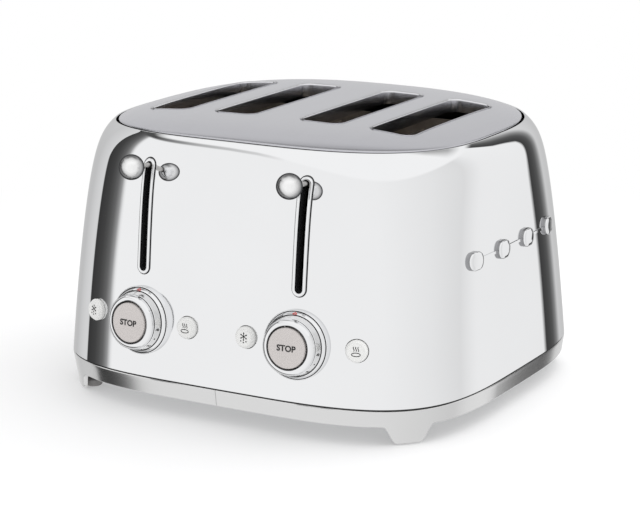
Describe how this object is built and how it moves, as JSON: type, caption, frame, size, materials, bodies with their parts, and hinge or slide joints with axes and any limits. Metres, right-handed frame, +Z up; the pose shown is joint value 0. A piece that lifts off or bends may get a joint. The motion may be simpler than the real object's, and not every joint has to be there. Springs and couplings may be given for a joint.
{
  "type": "pop up toaster",
  "caption": "Long-slot pop up toaster with a rounded mirror shell, crowned satin top, two levers with ball knobs, two browning dials with stop buttons and a footed base.",
  "frame": {"origin": "on the standing surface, under the middle of the part's box", "axes": "+Z up; the levers and dials face -Y; the row of studs is on the +X side"},
  "size_m": [0.33, 0.3128, 0.206],
  "materials": {
    "black_plastic": "moulded",
    "circuit_board": "solder resist",
    "copper_coil": "enamelled wire",
    "galvanised": "bright zinc-plated sheet",
    "heater_wire": "oxidised resistance wire",
    "mica": "pressed mica",
    "mirror_chrome": "mirror-polished chrome",
    "rubber": "moulded",
    "satin_steel": "satin brushed",
    "silver_trim": "silver satin paint",
    "spring_steel": "drawn wire",
    "warm_grey": "satin moulded",
    "white_plastic": "satin moulded"
  },
  "bodies": {
    "root": {"base_pan": "galvanised", "base_trim_left": "silver_trim", "base_trim_right": "silver_trim", "body_shell": "mirror_chrome", "control_board": "circuit_board", "cord_gland": "black_plastic", "dial_collar_left": "mirror_chrome", "dial_collar_right": "mirror_chrome", "foot_pad_front_left": "rubber", "foot_pad_front_right": "rubber", "foot_pad_rear_left": "rubber", "foot_pad_rear_right": "rubber", "front_bulkhead": "galvanised", "guide_rod_left": "spring_steel", "guide_rod_right": "spring_steel", "heater_board_1": "mica", "heater_board_2": "mica", "heater_board_3": "mica", "heater_board_4": "mica", "heater_board_5": "mica", "heater_board_6": "mica", "heater_winding_1": "heater_wire", "heater_winding_2": "heater_wire", "heater_winding_3": "heater_wire", "heater_winding_4": "heater_wire", "heater_winding_5": "heater_wire", "heater_winding_6": "heater_wire", "latch_magnet_left": "copper_coil", "latch_magnet_right": "copper_coil", "rear_bulkhead": "galvanised", "return_spring_left": "spring_steel", "return_spring_right": "spring_steel", "side_badge": "mirror_chrome", "slit_bezel_left": "mirror_chrome", "slit_bezel_right": "mirror_chrome", "top_plate": "satin_steel"},
    "carriage_left": {"carriage_left": "galvanised", "bread_rack_1": "galvanised", "bread_rack_2": "galvanised", "lever_arm_left": "spring_steel", "lever_knob_left": "mirror_chrome"},
    "guides_left_a": {"bread_guide_left_a": "galvanised"},
    "guides_left_b": {"bread_guide_left_b": "galvanised"},
    "dial_left": {"browning_dial_left": "mirror_chrome"},
    "stop_left": {"stop_button_left": "warm_grey"},
    "defrost_left": {"defrost_button_left": "white_plastic"},
    "reheat_left": {"reheat_button_left": "white_plastic"},
    "tray_left": {"crumb_tray_left": "galvanised"},
    "carriage_right": {"carriage_right": "galvanised", "bread_rack_3": "galvanised", "bread_rack_4": "galvanised", "lever_arm_right": "spring_steel", "lever_knob_right": "mirror_chrome"},
    "guides_right_a": {"bread_guide_right_a": "galvanised"},
    "guides_right_b": {"bread_guide_right_b": "galvanised"},
    "dial_right": {"browning_dial_right": "mirror_chrome"},
    "stop_right": {"stop_button_right": "warm_grey"},
    "defrost_right": {"defrost_button_right": "white_plastic"},
    "reheat_right": {"reheat_button_right": "white_plastic"},
    "tray_right": {"crumb_tray_right": "galvanised"}
  },
  "joints": [
    {"name": "lever_left", "type": "slide", "parent": "root", "child": "carriage_left", "axis": [0, 0, -1], "range_m": [0, 0.068], "stiffness_N_per_m": 60, "springref_m": -0.03, "deforming": ["return_spring_left"]},
    {"name": "guides_left_a_close", "type": "slide", "parent": "root", "child": "guides_left_a", "axis": [1, 0, 0], "range_m": [0, 0.006]},
    {"name": "guides_left_b_close", "type": "slide", "parent": "root", "child": "guides_left_b", "axis": [-1, 0, 0], "range_m": [0, 0.006]},
    {"name": "dial_left_turn", "type": "hinge", "parent": "root", "child": "dial_left", "pos_m": [-0.0638, -0.13921, 0.0672], "axis": [0.0639, 0.9932, -0.0973], "range_deg": [0, 240]},
    {"name": "stop_left_press", "type": "slide", "parent": "root", "child": "stop_left", "axis": [0.0639, 0.9932, -0.0973], "range_m": [0, 0.0025], "stiffness_N_per_m": 400, "springref_m": -0.002},
    {"name": "defrost_left_press", "type": "slide", "parent": "root", "child": "defrost_left", "axis": [0.3067, 0.9456, -0.1085], "range_m": [0, 0.002], "stiffness_N_per_m": 400, "springref_m": -0.002},
    {"name": "reheat_left_press", "type": "slide", "parent": "root", "child": "reheat_left", "axis": [0.0041, 0.9955, -0.0942], "range_m": [0, 0.002], "stiffness_N_per_m": 400, "springref_m": -0.002},
    {"name": "tray_left_pull", "type": "slide", "parent": "root", "child": "tray_left", "axis": [0, 1, 0], "range_m": [0, 0.18]},
    {"name": "lever_right", "type": "slide", "parent": "root", "child": "carriage_right", "axis": [0, 0, -1], "range_m": [0, 0.068], "stiffness_N_per_m": 60, "springref_m": -0.03, "deforming": ["return_spring_right"]},
    {"name": "guides_right_a_close", "type": "slide", "parent": "root", "child": "guides_right_a", "axis": [1, 0, 0], "range_m": [0, 0.006]},
    {"name": "guides_right_b_close", "type": "slide", "parent": "root", "child": "guides_right_b", "axis": [-1, 0, 0], "range_m": [0, 0.006]},
    {"name": "dial_right_turn", "type": "hinge", "parent": "root", "child": "dial_right", "pos_m": [0.0638, -0.13921, 0.0672], "axis": [-0.0639, 0.9932, -0.0973], "range_deg": [0, 240]},
    {"name": "stop_right_press", "type": "slide", "parent": "root", "child": "stop_right", "axis": [-0.0639, 0.9932, -0.0973], "range_m": [0, 0.0025], "stiffness_N_per_m": 400, "springref_m": -0.002},
    {"name": "defrost_right_press", "type": "slide", "parent": "root", "child": "defrost_right", "axis": [-0.0041, 0.9955, -0.0942], "range_m": [0, 0.002], "stiffness_N_per_m": 400, "springref_m": -0.002},
    {"name": "reheat_right_press", "type": "slide", "parent": "root", "child": "reheat_right", "axis": [-0.3067, 0.9456, -0.1085], "range_m": [0, 0.002], "stiffness_N_per_m": 400, "springref_m": -0.002},
    {"name": "tray_right_pull", "type": "slide", "parent": "root", "child": "tray_right", "axis": [0, 1, 0], "range_m": [0, 0.18]}
  ],
  "couplings": [
    {"joint": "guides_left_a_close", "follows": "lever_left", "ratio": 0.088},
    {"joint": "guides_left_b_close", "follows": "lever_left", "ratio": 0.088},
    {"joint": "guides_right_a_close", "follows": "lever_right", "ratio": 0.088},
    {"joint": "guides_right_b_close", "follows": "lever_right", "ratio": 0.088}
  ]
}
